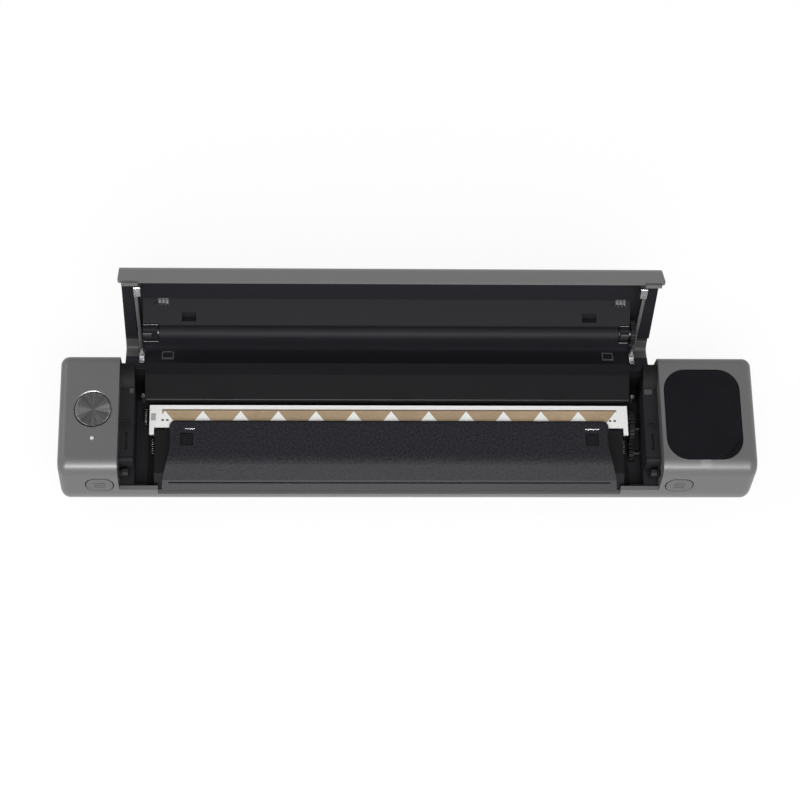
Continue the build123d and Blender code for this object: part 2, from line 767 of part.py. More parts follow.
# ---- controls --------------------------------------------------------------------------------------------
def revolved(points, x, y):
    """Turned piece about a vertical axis, from (radius, z) points."""
    return Pos(x, y, 0) * revolve(Plane.XZ * Polygon(*points, align=None), Axis.Z)


def power_button():
    top = body_height - 0.05
    under = body_height - case_wall - moving_gap
    r = button_radius
    points = [(0, top - button_dish), (r - 0.5, top), (r - 0.1, top - 0.12), (r, top - 0.4),
              (r, under), (r + button_flange, under), (r + button_flange, under - 1.2),
              (1.6, under - 1.2), (1.6, under - 1.2 - button_thickness), (0, under - 1.2 - button_thickness)]
    return revolved(points, left_x + button_inset, button_y)


def button_ring():
    top = body_height
    inner, outer = button_radius + button_groove, button_radius + button_groove + ring_width
    points = [(inner, top - ring_height), (outer, top - ring_height), (outer, top + 0.02),
              (outer - 0.15, top + 0.05), (inner, top - 0.25)]
    return revolved(points, left_x + button_inset, button_y)


def status_light():
    points = [(0, body_height + 0.05), (light_radius * 0.7, body_height), (light_radius, body_height - 0.1),
              (light_radius, body_height - case_wall - 1.0), (0, body_height - case_wall - 1.0)]
    return revolved(points, left_x + button_inset, button_y - light_spacing)


def display_glass():
    """Flush plate whose front edge follows the curve of the case's top."""
    plate = extrude(display_outline(), display_thickness)
    plate = chamfer(plate.faces().sort_by(Axis.Z)[-1].edges(), 0.15)
    plate = Pos(0, 0, body_height - display_thickness) * plate
    return plate & along_x(body_section(), bay_right, right_x)


def display_film():
    sheet = Pos(0, 0, body_height) * extrude(display_outline(-0.5), film_thickness)
    x = right_x - display_inset + film_tab_offset
    skin = along_x(body_section(-film_thickness) - body_section(), x, x + film_tab_width)
    edge = display_y - display_depth / 2
    tab = skin & block(x, x + film_tab_width, edge - film_tab_length, edge + 1.0,
                       body_height - 6, body_height + 1)
    return sheet + tab


def release_button(x, bay_wall_x):
    """Pill button on the front face, with the slider that carries the latch hook."""
    face = front_face_plane(x, pill_mid_z)
    top = face.offset(pill_proud)
    cap = extrude(top * pill_outline(), -case_wall - 1.0 - pill_proud)
    cap = fillet(cap.faces().sort_by(Axis.Y)[0].edges(), 0.2)
    retainer = RectangleRounded(pill_width, pill_height + 2 * pill_flange, pill_radius)
    flange = extrude(face.offset(-case_wall - moving_gap) * retainer, -1.2)
    stem = extrude(face.offset(-case_wall) * pill_outline(-1.6), -4.4)
    inward = 1 if bay_wall_x > x else -1
    start = x + inward * 3.0
    tip = bay_wall_x + inward * slider_reach
    bar = block(min(start, tip), max(start, tip), *slider_y, *slider_z)
    nose_x = sorted((tip, tip - inward * 2.6))
    nose = along_x(Polygon((slider_y[0], slider_z[1]), (slider_y[0], slider_z[1] + 0.9),
                           (slider_y[0] + 0.9, slider_z[1] + latch_nose_height),
                           (slider_y[1], slider_z[1] + latch_nose_height),
                           (slider_y[1], slider_z[1]), align=None), *nose_x)
    return cap + flange + stem + bar + nose


def usb_port():
    plane = Plane((left_x + 0.6, port_y, port_z), x_dir=(0, 1, 0), z_dir=(-1, 0, 0))
    shell = extrude(plane * port_outline(), -port_depth)
    shell -= extrude(plane * port_outline(-port_wall), -port_depth + 0.8)
    tongue = extrude(plane.offset(-0.9) * Rectangle(port_width - 3.2, 0.7), -port_depth + 1.2)
    return shell + tongue


# ---- inner pieces ------------------------------------------------------------------------------------------
def battery_cells():
    cells = []
    for side in (-1, 1):
        x = bay_mid + side * (cell_length / 2 + 1.5)
        cell = rod_x(cell_radius, cell_y, cell_z, x - cell_length / 2, x + cell_length / 2)
        cells.append(fillet(cell.edges().filter_by(GeomType.CIRCLE), 0.8))
    return Compound(children=cells)


def main_board():
    y0 = board_front_y
    top = board_z + board_thickness
    half = board_length / 2
    room = well_floor_z - frame_wall - top
    board = block(bay_mid - half, bay_mid + half, y0, y0 + board_depth, board_z, top)
    board += block(bay_mid - 8, bay_mid + 6, y0 + 3, y0 + 17, top, top + 0.25 * room)
    for i in range(5):
        x = bay_mid - 62 + i * 11
        board += block(x, x + 5, y0 + 3, y0 + 8, top, top + 0.4 * room)
    board += block(bay_mid + 40, bay_mid + 62, y0 + 5, y0 + 11, top, top + 0.7 * room)
    for x in (bay_mid - half + 4, bay_mid + half - 4):
        for y in (y0 + 3, y0 + board_depth - 4):
            board += pin_z(1.6, x, y, plate_thickness, board_z)
            board += pin_z(2.2, x, y, top, top + 1.0)
    return board


# ---- cover, drawn closed --------------------------------------------------------------------------------------
def cover_shell():
    x0, x1 = cover_left, cover_right
    shell = along_x(body_section() - body_section(cover_wall), x0, x1)
    shell -= block(x0 - 1, x1 + 1, front_y - 9, 0, -1, cover_skirt_bottom)
    corners = shell.edges().filter_by(Axis.Y).filter_by_position(
        Axis.Z, cover_skirt_bottom - 0.01, cover_skirt_bottom + 0.01)
    shell = fillet(corners, skirt_corner)
    shell -= block(x0 - 1, x1 + 1, -1, rear_y + 1, -1, hinge_z)
    # rounded bead along the rear edge, concentric with the hinge
    shell += rod_x(hinge_bead_radius, hinge_y, hinge_z, x0, x1)
    reach = hinge_pin_reach + 0.5
    bore = hinge_pin_radius + pin_clearance
    shell -= rod_x(bore, hinge_y, hinge_z, x0, x0 + reach)
    shell -= rod_x(bore, hinge_y, hinge_z, x1 - reach, x1)
    # a short tongue below the skirt at each end, which drops in behind the case's sill
    low, high = cover_skirt_bottom - lip_tongue_drop, cover_skirt_bottom + 2.0
    outside, inside = lip_tongue_inset, lip_tongue_inset + lip_tongue_thickness
    tongue = Polygon((front_line(low, outside), low), (front_line(low, inside), low),
                     (front_line(high, inside), high), (front_line(high, outside), high), align=None)
    lip = along_x(tongue, x0 + skirt_corner + 0.6, x0 + skirt_corner + 0.6 + lip_tongue_length)
    return shell + lip + mirrored(lip)


def bearing_box(right=False):
    """Closed position of the box that holds one of the platen's bushes."""
    if right:
        x0 = bay_mid + platen_length / 2 + moving_gap
        return x0, x0 + gear_box_length
    x1 = bay_mid - platen_length / 2 - moving_gap
    return x1 - bearing_box_length, x1


def bush_span(right=False):
    """The bush sits in the end of its box that is away from the rubber."""
    x0, x1 = bearing_box(right)
    return (x1 - bush_length, x1) if right else (x0, x0 + bush_length)


def cover_skin():
    """Thin black skin inside the cover's rear corner, lower down at the cover's ends."""
    skin = body_section(cover_wall) - body_section(cover_wall + skin_thickness)
    low, high = hinge_z + hinge_bead_radius + 1.2, body_height
    middle = skin & Polygon((liner_rear_y, low), (rear_y, low), (rear_y, high), (liner_rear_y, high),
                            align=None)
    end = skin & Polygon((liner_rear_y, low), (rear_y, low), (rear_y, skin_end_top_z),
                         (liner_rear_y, skin_end_top_z), align=None)
    x0 = cover_left + liner_side_inset + side_rail_width
    ends = along_x(end, cover_left + seat_gap, x0 + 1.0)
    x0 += moving_gap + seat_gap
    return along_x(middle, x0, cover_left + cover_right - x0) + ends + mirrored(ends)


def cover_liner():
    top = body_height - cover_wall
    x0, x1 = cover_left + liner_side_inset, cover_right - liner_side_inset
    plate = Polygon((liner_front_y, liner_z), (liner_front_y, top), (liner_rear_y, top),
                    (liner_rear_y, liner_z), align=None)
    liner = along_x(plate & body_section(cover_wall), x0, x1) + cover_skin()
    rail = block(x0, x0 + side_rail_width, side_rail_front_y, side_rail_rear_y,
                 liner_z - side_rail_height, liner_z)
    liner += rail + mirrored(rail)
    # cradle along the roller, with a long ramp in front
    room = platen_radius + moving_gap
    front, back = platen_y - room - cradle_wall, platen_y + room + cradle_wall
    cradle = Polygon((front - cradle_ramp, liner_z), (front, platen_z), (back, platen_z),
                     (back + cradle_back_slope, liner_z), align=None)
    liner += along_x(cradle, bearing_box()[0], bearing_box(right=True)[1])
    liner -= rod_x(room, platen_y, platen_z, bearing_box()[1], bearing_box(right=True)[0])
    for right in (False, True):
        bx0, bx1 = bearing_box(right)
        box = rounded_outline([
            (platen_y - 4.4, platen_z), (platen_y - 4.0, bearing_box_bottom_z),
            (platen_y + 3.4, bearing_box_bottom_z), (platen_y + 3.8, platen_z),
            (platen_y + 3.8, liner_z), (platen_y - 4.4, liner_z)], [0, 1.2, 1.2, 0, 0, 0])
        liner += along_x(box, bx0, bx1)
        liner -= rod_x(bush_radius, platen_y, platen_z, *bush_span(right))
        liner -= rod_x(platen_shaft_radius + moving_gap, platen_y, platen_z, bx0 - 1, bx1 + 1)
    # small paper tabs on the ramp, and notches at its foot
    width, depth, height = liner_tab
    for side in (-1, 1):
        x = bay_mid + side * liner_tab_offset
        y = front - cradle_ramp + 1.0
        liner += along_x(Polygon((y, liner_z), (y + 0.6, liner_z - height), (y + depth, liner_z - height - 1.2),
                                 (y + depth, liner_z), align=None), x - width / 2, x + width / 2)
        x -= side * 2.0 * liner_notch_width
        liner -= block(x - liner_notch_width / 2, x + liner_notch_width / 2, front - 4.6, front - 1.2,
                       0, platen_z + 4.0)
    return liner


def platen_bushes():
    bushes = []
    for right in (False, True):
        bush = rod_x(bush_radius, platen_y, platen_z, *bush_span(right))
        bush -= rod_x(platen_shaft_radius + pin_clearance, platen_y, platen_z, *bush_span(right))
        bushes.append(bush)
    return Compound(children=bushes)


def platen_shaft():
    half = platen_length / 2
    right_end = gear_span()[1] + 0.4
    shaft = rod_x(platen_shaft_radius, platen_y, platen_z, bay_mid - half - platen_shaft_overhang, right_end)
    return chamfer(shaft.edges().filter_by(GeomType.CIRCLE), 0.3)


def platen_roller():
    half = platen_length / 2
    roller = rod_x(platen_radius, platen_y, platen_z, bay_mid - half, bay_mid + half)
    roller = chamfer(roller.edges().filter_by(GeomType.CIRCLE), 0.4)
    return roller - rod_x(platen_shaft_radius, platen_y, platen_z, bay_mid - half - 1, bay_mid + half + 1)


def platen_gear():
    return toothed_wheel(platen_gear_teeth, gear_centres()[0], gear_phases()[0], platen_shaft_radius)


def brace_ends():
    """Ends of the rod that runs off the liner, from the front clip to the hinge bracket."""
    rail_x = cover_left + liner_side_inset + side_rail_width
    front = (rail_x + brace_width / 2 + 0.45, side_rail_front_y + 5.5, liner_z - brace_stand_off)
    rear = (rail_x + brace_width / 2 + 0.95, rear_y - cover_wall - skin_thickness - 1.2, liner_z - 3.7)
    return front, rear


def cover_brace():
    front, rear = brace_ends()
    path = Line(front, rear)
    across = Plane(origin=path @ 0, x_dir=(1, 0, 0), z_dir=path % 0)
    return sweep(across * RectangleRounded(brace_width, brace_height, 0.4), path=path)


def brace_clip():
    """Steel post with a jaw round the rod's front end."""
    x, y, z = brace_ends()[0]
    x0, x1 = x - brace_width / 2, x - brace_width / 2 + clip_width
    clip = block(x0, x1, y - 5.3, y + 1.0, z - 1.7, z + 1.7)
    clip += block(x0, x1, y - 5.3, y - 1.9, z, liner_z)
    clip = fillet(clip.edges().filter_by(Axis.X).group_by(Axis.Z)[0], 0.5)
    jaw = brace_height / 2 + 0.3
    clip -= block(x0 - 1, x0 + brace_width + 0.2, y - 0.2, y + 2, z - jaw, z + jaw)
    return clip


def hinge_bracket():
    """Riveted steel bracket on the cover's rear wall, which holds the rod's lower end."""
    x, y, z = brace_ends()[1]
    inner = rear_y - cover_wall - skin_thickness
    low = hinge_z + hinge_bead_radius + 4.0
    points = [(inner, z + 1.7), (inner, low), (inner - 0.8, low), (inner - 0.8, z - 1.7),
              (y - 2.4, z - 1.9), (y - 2.4, z - 0.8), (y + 0.1, z - 0.8), (y + 0.1, z + 0.8),
              (y - 2.4, z + 0.8), (y - 2.4, z + 1.7)]
    bracket = along_x(Polygon(*points, align=None), x - bracket_width / 2, x + bracket_width / 2)
    for height in (low + 1.2, low + 3.4):
        rivet = Plane((x, inner - 0.8, height), x_dir=(1, 0, 0), z_dir=(0, -1, 0))
        bracket += extrude(rivet * Circle(0.7), 0.35)
    return bracket


def hinge_pin():
    start = bay_left + cover_side_gap + hinge_pin_reach - hinge_pin_length
    return rod_x(hinge_pin_radius, hinge_y, hinge_z, start, start + hinge_pin_length)


# ---- all nodes ----------------------------------------------------------------------------------------------------
def all_nodes():
    pills = pill_spots()
    brace, clip, bracket, pin = cover_brace(), brace_clip(), hinge_bracket(), hinge_pin()
    return {
        "outer_case": outer_case(),
        "base_plate": base_plate(),
        "anti_slip_pads": anti_slip_pads(),
        "base_screws": base_screws(),
        "inner_frame": inner_frame(),
        "side_frame_left": side_frame(),
        "side_frame_right": side_frame(right=True),
        "ledge_screws": ledge_screws(),
        "rear_guide": rear_guide(),
        "front_guide": front_guide(),
        "sensor_windows": sensor_windows(),
        "print_head": print_head(),
        "head_heatsink": head_heatsink(),
        "head_springs": head_spring(),
        "idler_gear": idler_gear(),
        "idler_pin": idler_pin(),
        "motor_pinion": motor_pinion(),
        "motor_shaft": motor_shaft(),
        "drive_motor": drive_motor(),
        "power_button": power_button(),
        "button_ring": button_ring(),
        "status_light": status_light(),
        "display_glass": display_glass(),
        "display_film": display_film(),
        "release_button_left": release_button(pills[0], bay_left),
        "release_button_right": release_button(pills[1], bay_right),
        "usb_port": usb_port(),
        "battery_cells": battery_cells(),
        "main_board": main_board(),
        "cover_shell": opened(cover_shell()),
        "cover_liner": opened(cover_liner()),
        "platen_bushes": opened(platen_bushes()),
        "platen_shaft": opened(platen_shaft()),
        "platen_roller": opened(platen_roller()),
        "platen_gear": opened(platen_gear()),
        "brace_left": opened(brace),
        "brace_right": opened(mirrored(brace)),
        "brace_clip_left": opened(clip),
        "brace_clip_right": opened(mirrored(clip)),
        "hinge_bracket_left": opened(bracket),
        "hinge_bracket_right": opened(mirrored(bracket)),
        "hinge_pin_left": pin,
        "hinge_pin_right": mirrored(pin),
    }


os.makedirs("parts", exist_ok=True)
for name, shape in all_nodes().items():
    export_step(shape, f"parts/{name}.step")
platen_open = swung(platen_y, platen_z)
print("platen axis with the cover open:", [round(value, 4) for value in platen_open])
print("idler and pinion centres:", gear_centres()[1:])
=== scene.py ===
import math

import bmesh
import bpy
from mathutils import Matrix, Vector


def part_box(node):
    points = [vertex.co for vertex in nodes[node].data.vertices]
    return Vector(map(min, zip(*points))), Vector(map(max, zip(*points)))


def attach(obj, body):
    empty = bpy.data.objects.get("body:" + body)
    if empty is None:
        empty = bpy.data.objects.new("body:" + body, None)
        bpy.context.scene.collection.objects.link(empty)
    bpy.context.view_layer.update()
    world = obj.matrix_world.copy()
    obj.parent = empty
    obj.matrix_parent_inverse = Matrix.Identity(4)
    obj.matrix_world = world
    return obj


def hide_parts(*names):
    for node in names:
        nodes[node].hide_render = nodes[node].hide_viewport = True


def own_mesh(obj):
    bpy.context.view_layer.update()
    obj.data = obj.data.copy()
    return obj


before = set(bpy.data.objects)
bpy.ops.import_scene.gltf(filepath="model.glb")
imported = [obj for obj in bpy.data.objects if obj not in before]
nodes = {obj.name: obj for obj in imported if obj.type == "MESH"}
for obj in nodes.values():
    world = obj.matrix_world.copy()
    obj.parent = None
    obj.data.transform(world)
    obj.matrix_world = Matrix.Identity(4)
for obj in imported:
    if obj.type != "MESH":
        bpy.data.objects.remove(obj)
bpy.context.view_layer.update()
print("frame loaded:", len(nodes), "nodes")


# helpers for the materials' node trees

def addNode(tree, kind, **values):
    node = tree.nodes.new(kind)
    for key, value in values.items():
        if key in node.inputs:
            node.inputs[key].default_value = value
        else:
            setattr(node, key, value)
    return node


def startMaterial(name):
    material = bpy.data.materials.new(name)
    material.use_nodes = True
    tree = material.node_tree
    shader = tree.nodes["Principled BSDF"]
    coords = tree.nodes.new("ShaderNodeTexCoord")
    return material, tree, shader, coords.outputs["Object"]


def noiseAt(tree, coords, scale, detail=2.0, roughness=0.5, stretch=None):
    source = coords
    if stretch:
        mapping = addNode(tree, "ShaderNodeMapping")
        mapping.inputs["Scale"].default_value = stretch
        tree.links.new(coords, mapping.inputs["Vector"])
        source = mapping.outputs["Vector"]
    noise = addNode(tree, "ShaderNodeTexNoise", Scale=scale, Detail=detail, Roughness=roughness)
    tree.links.new(source, noise.inputs["Vector"])
    return noise.outputs["Fac"]


def rampOf(tree, fac, stops):
    ramp = tree.nodes.new("ShaderNodeValToRGB")
    while len(ramp.color_ramp.elements) < len(stops):
        ramp.color_ramp.elements.new(0.5)
    for element, (place, value) in zip(ramp.color_ramp.elements, stops):
        element.position = place
        element.color = (*value, 1) if isinstance(value, tuple) else (value, value, value, 1)
    tree.links.new(fac, ramp.inputs["Fac"])
    return ramp.outputs["Color"]


def mathOf(tree, operation, a, b=None, clamp=False):
    node = tree.nodes.new("ShaderNodeMath")
    node.operation = operation
    node.use_clamp = clamp
    for place, value in enumerate((a, b)):
        if value is None:
            continue
        if hasattr(value, "is_linked"):
            tree.links.new(value, node.inputs[place])
        else:
            node.inputs[place].default_value = value
    return node.outputs[0]


def mixColor(tree, fac, a, b):
    node = tree.nodes.new("ShaderNodeMix")
    node.data_type = "RGBA"
    for socket, value in ((node.inputs[0], fac), (node.inputs[6], a), (node.inputs[7], b)):
        if hasattr(value, "is_linked"):
            tree.links.new(value, socket)
        else:
            socket.default_value = value
    return node.outputs[2]


def timesColor(tree, a, b):
    node = tree.nodes.new("ShaderNodeMix")
    node.data_type = "RGBA"
    node.blend_type = "MULTIPLY"
    node.inputs[0].default_value = 1
    tree.links.new(a, node.inputs[6])
    tree.links.new(b, node.inputs[7])
    return node.outputs[2]


def grainBump(tree, shader, height, strength, distance, after=None):
    bump = addNode(tree, "ShaderNodeBump", Strength=strength, Distance=distance)
    tree.links.new(height, bump.inputs["Height"])
    if after:
        tree.links.new(after, bump.inputs["Normal"])
    tree.links.new(bump.outputs["Normal"], shader.inputs["Normal"])
    return bump.outputs["Normal"]


def unevenGloss(tree, shader, noise, rough, below, above):
    # the gloss wanders a little round its level
    stops = [(0.3, rough - below), (0.7, rough + above)]
    tree.links.new(rampOf(tree, noise, stops), shader.inputs["Roughness"])


def grey(level, warm=0.0):
    # a negative warm gives a bluish grey
    return (level * (1 + 0.35 * warm), level * (1 + 0.5 * warm), level * (1 - warm))


# the camera looks down from above the front, with its angles in degrees and its place in metres
viewValues = {
    "place": (-0.05487, -0.3012, 0.9217),
    "tilt": 19.376,
    "lean": -1.983,
    "turn": -0.553,
    "lens": 88.668,
    "shiftX": 0.045,
}


def makeCamera(values):
    data = bpy.data.cameras.new("printerCamera")
    camera = bpy.data.objects.new("printerCamera", data)
    bpy.context.scene.collection.objects.link(camera)
    camera.location = values["place"]
    camera.rotation_euler = [math.radians(values[part]) for part in ("tilt", "lean", "turn")]
    data.lens = values["lens"]
    data.sensor_width = 36
    data.shift_x = values["shiftX"]
    data.clip_start = 0.01
    data.clip_end = 50
    bpy.context.scene.camera = camera
    return camera


makeCamera(viewValues)
bpy.context.scene.view_settings.view_transform = "Standard"
print("camera placed")


# table, lamps and air, in metres and watts
studioValues = {
    "tableColor": 0.97,
    "tableSize": 9.0,
    "tableTop": -0.0004,        # a hair below the pads
    "aim": (0, 0, 0.03),
    "tableGlow": 0.9,           # share of plain white that the camera sees in the table
    "skyStops": [(0.0, 0.9), (0.45, 0.7), (0.8, 0.48), (1.0, 0.38)],    # horizon to overhead
    "keyPower": 7.0,
    "keyPlace": (0.0, -1.41, 1.15),
    "keySize": (1.6, 0.4),
    "edgePower": 38.0,          # only seen in gloss, it draws the bright line along the front edges
    "edgePlace": (-0.13, -1.41, 1.15),
    "edgeSize": (1.3, 0.06),
    "sidePower": 5.0,
    "sidePlace": (-1.5, 0.35, 1.25),
    "sideSize": (0.9, 0.5),
    "softPower": 16.0,
    "softPlace": (0.15, -1.0, 1.6),
    "softSize": (1.4, 0.8),
}


def addLamp(name, place, aim, size, power):
    data = bpy.data.lights.new(name, "AREA")
    data.shape = "RECTANGLE"
    data.size, data.size_y = size
    data.energy = power
    lamp = bpy.data.objects.new(name, data)
    bpy.context.scene.collection.objects.link(lamp)
    lamp.location = place
    lamp.rotation_euler = (Vector(aim) - Vector(place)).to_track_quat("-Z", "Y").to_euler()
    return lamp


def makeTable(values):
    bpy.ops.object.select_all(action="DESELECT")
    bpy.ops.mesh.primitive_plane_add(size=values["tableSize"], location=(0, 0, values["tableTop"]))
    table = bpy.context.object
    table.name = "tableTop"
    material, tree, shader, _ = startMaterial("palePaper")
    shade = values["tableColor"]
    shader.inputs["Base Color"].default_value = (shade, shade, shade, 1)
    shader.inputs["Roughness"].default_value = 0.9
    shader.inputs["Specular IOR Level"].default_value = 0.1
    # the camera, and gloss and glass, see the table nearly white, with the shadow still on it
    glow = addNode(tree, "ShaderNodeEmission", Strength=1.0)
    path = tree.nodes.new("ShaderNodeLightPath")
    mirrored = mathOf(tree, "MAXIMUM", path.outputs["Is Glossy Ray"],
                      path.outputs["Is Transmission Ray"])
    seen = mathOf(tree, "MAXIMUM", path.outputs["Is Camera Ray"], mirrored)
    blend = tree.nodes.new("ShaderNodeMixShader")
    tree.links.new(mathOf(tree, "MULTIPLY", seen, values["tableGlow"]), blend.inputs[0])
    tree.links.new(shader.outputs[0], blend.inputs[1])
    tree.links.new(glow.outputs[0], blend.inputs[2])
    tree.links.new(blend.outputs[0], tree.nodes["Material Output"].inputs["Surface"])
    table.data.materials.append(material)


def makeSky(values):
    # bright round the horizon and dim overhead, so that black gloss stays black from above
    world = bpy.data.worlds.new("studioAir")
    world.use_nodes = True
    tree = world.node_tree
    coords = tree.nodes.new("ShaderNodeTexCoord")
    split = tree.nodes.new("ShaderNodeSeparateXYZ")
    tree.links.new(coords.outputs["Generated"], split.inputs[0])
    air = tree.nodes["Background"]
    tree.links.new(rampOf(tree, split.outputs["Z"], values["skyStops"]), air.inputs["Color"])
    air.inputs["Strength"].default_value = 1.0
    bpy.context.scene.world = world


makeTable(studioValues)
makeSky(studioValues)
for lampName in ("key", "edge", "side", "soft"):
    newLamp = addLamp(lampName + "Lamp", studioValues[lampName + "Place"], studioValues["aim"],
                      studioValues[lampName + "Size"], studioValues[lampName + "Power"])
    newLamp.visible_diffuse = lampName != "edge"
print("studio lit")


# finishes

def mouldedPlastic(name, values):
    material, tree, shader, coords = startMaterial(name)
    level, warm = values["color"], values.get("warm", 0.0)
    spread, fleck = values.get("spread", 0.05), values.get("fleck", 0.08)
    cloud = noiseAt(tree, coords, 35.0, 3.0, 0.55)
    speck = noiseAt(tree, coords, values["grain"], 2.0, 0.6)
    base = rampOf(tree, cloud, [(0.3, grey(level * (1 - spread), warm)),
                                (0.7, grey(level * (1 + spread), warm))])
    flecks = rampOf(tree, speck, [(0.35, 1 - fleck), (0.65, 1 + fleck)])
    tree.links.new(timesColor(tree, base, flecks), shader.inputs["Base Color"])
    unevenGloss(tree, shader, speck, values["rough"], 0.04, 0.05)
    grainBump(tree, shader, speck, values.get("bump", 0.25), values.get("depth", 0.00002))
    shader.inputs["Specular IOR Level"].default_value = values.get("specular", 0.5)
    return material


def twoToneAndPaintedLightPlastic(name, values):
    # one moulding whose colour changes at a place along one axis: two real tones on the buttons,
    # painted shade and painted light on the cheeks and the liner
    material, tree, shader, coords = startMaterial(name)
    split = tree.nodes.new("ShaderNodeSeparateXYZ")
    tree.links.new(coords, split.inputs[0])
    past = mathOf(tree, "GREATER_THAN", split.outputs[values["axis"]], values["place"])
    speck = noiseAt(tree, coords, values["grain"], 2.0, 0.6)
    flecks = rampOf(tree, speck, [(0.35, 0.94), (0.65, 1.06)])
    warm = values.get("warm", 0.0)
    before, after = [(*grey(values[part], warm), 1) for part in ("before", "after")]
    color = mixColor(tree, past, before, after)
    tree.links.new(timesColor(tree, color, flecks), shader.inputs["Base Color"])
    unevenGloss(tree, shader, speck, values["rough"], 0.04, 0.05)
    grainBump(tree, shader, speck, 0.3, 0.00003)
    shader.inputs["Specular IOR Level"].default_value = values.get("specular", 0.4)
    return material


def spunMetal(name, values):
    # rings turned about a centre, with the gloss spread across them in a fan
    material, tree, shader, coords = startMaterial(name)
    mapping = tree.nodes.new("ShaderNodeMapping")
    mapping.inputs["Location"].default_value = [-part for part in values["centre"]]
    tree.links.new(coords, mapping.inputs["Vector"])
    split = tree.nodes.new("ShaderNodeSeparateXYZ")
    tree.links.new(mapping.outputs["Vector"], split.inputs[0])
    flat = tree.nodes.new("ShaderNodeCombineXYZ")
    tree.links.new(split.outputs["X"], flat.inputs["X"])
    tree.links.new(split.outputs["Y"], flat.inputs["Y"])
    length = tree.nodes.new("ShaderNodeVectorMath")
    length.operation = "LENGTH"
    tree.links.new(flat.outputs[0], length.inputs[0])
    outward = tree.nodes.new("ShaderNodeVectorMath")
    outward.operation = "NORMALIZE"
    tree.links.new(flat.outputs[0], outward.inputs[0])
    rings = tree.nodes.new("ShaderNodeTexNoise")
    rings.noise_dimensions = "1D"
    rings.inputs["Scale"].default_value = values["ringScale"]
    rings.inputs["Detail"].default_value = 4
    tree.links.new(length.outputs["Value"], rings.inputs["W"])
    # painted highlight: brighter and darker sectors of the metal's colour round the centre,
    # standing in for the fan of gloss
    paintedFan = addNode(tree, "ShaderNodeTexNoise", Scale=values["paintedFanScale"], Detail=2.0)
    tree.links.new(outward.outputs["Vector"], paintedFan.inputs["Vector"])
    level = values["color"]
    ringTone = rampOf(tree, rings.outputs["Fac"], [(0.3, level * 0.88), (0.7, level * 1.12)])
    paintedFanTone = rampOf(tree, paintedFan.outputs["Fac"], [(0.35, 1 - values["paintedFan"]),
                                                 (0.65, 1 + values["paintedFan"])])
    tree.links.new(timesColor(tree, ringTone, paintedFanTone), shader.inputs["Base Color"])
    unevenGloss(tree, shader, rings.outputs["Fac"], values["rough"], 0.05, 0.06)
    shader.inputs["Metallic"].default_value = 1
    shader.inputs["Anisotropic"].default_value = values["anisotropic"]
    shader.inputs["Anisotropic Rotation"].default_value = 0.25
    tree.links.new(outward.outputs["Vector"], shader.inputs["Tangent"])
    grainBump(tree, shader, rings.outputs["Fac"], 0.3, 0.00001)
    return material


def bareMetal(name, values):
    material, tree, shader, coords = startMaterial(name)
    level = values["color"]
    streak = noiseAt(tree, coords, 900.0, 3.0, 0.6, values.get("stretch", (1, 1, 1)))
    tree.links.new(rampOf(tree, streak, [(0.3, level * 0.92), (0.7, min(1.0, level * 1.06))]),
                   shader.inputs["Base Color"])
    unevenGloss(tree, shader, streak, values["rough"], 0.06, 0.08)
    shader.inputs["Metallic"].default_value = 1
    grainBump(tree, shader, streak, 0.06, 0.00001)
    return material


def clearFilm(name, values):
    # clear over the panel, and a little milky on the pull tab in front of it
    material, tree, shader, coords = startMaterial(name)
    split = tree.nodes.new("ShaderNodeSeparateXYZ")
    tree.links.new(coords, split.inputs[0])
    onTab = mathOf(tree, "LESS_THAN", split.outputs["Y"], values["tabBack"])
    haze = noiseAt(tree, coords, 90.0, 3.0, 0.6)
    shader.inputs["Base Color"].default_value = values["color"]
    unevenGloss(tree, shader, haze, values["rough"], 0.03, 0.03)
    cover = rampOf(tree, haze, [(0.3, values["cover"] * 0.7), (0.7, values["cover"] * 1.3)])
    milk = mathOf(tree, "MULTIPLY", onTab, values["tabCover"])
    tree.links.new(mathOf(tree, "ADD", cover, milk), shader.inputs["Alpha"])
    shader.inputs["Specular IOR Level"].default_value = 0.3
    return material


def lightLens(name, values):
    material, tree, shader, coords = startMaterial(name)
    haze = noiseAt(tree, coords, 900.0)
    tree.links.new(rampOf(tree, haze, [(0.3, values["low"]), (0.7, values["high"])]),
                   shader.inputs["Base Color"])
    shader.inputs["Roughness"].default_value = values["rough"]
    grainBump(tree, shader, haze, 0.1, 0.00002)
    return material

# white ceramic strip with the brown heater band, its pads and the row of white peaks, in metres
headValues = {
    "bandLeft": -0.11785,
    "bandRight": 0.1013,
    "bandBack": 0.00913,
    "bandFront": 0.0015,
    "lineWidth": 0.0007,        # dark edge along the back of the band
    "peakPitch": 0.0181,
    "peakHalf": 0.0036,
    "peakHalfAt": 0.00381,
    "peakTip": 0.00831,
    "firstPeak": -0.09823,
    "marks": (-0.1163, 0.0992),     # middles of the two pairs of contact marks
    "markPlace": 0.0036,
    "markPitch": 0.0021,
    "markInner": 0.0005,
    "markOuter": 0.0017,
    "markHalf": 0.00045,
    "padSpan": (-0.123, -0.1207, 0.0034, 0.0071),
    "white": ((0.765, 0.765, 0.75), (0.835, 0.835, 0.82)),
    "brown": ((0.325, 0.238, 0.145), (0.40, 0.297, 0.185)),
    "line": ((0.13, 0.09, 0.055), (0.18, 0.13, 0.08)),
    "mark": (0.05, 0.045, 0.04, 1),
    "pad": (0.36, 0.36, 0.37, 1),
}


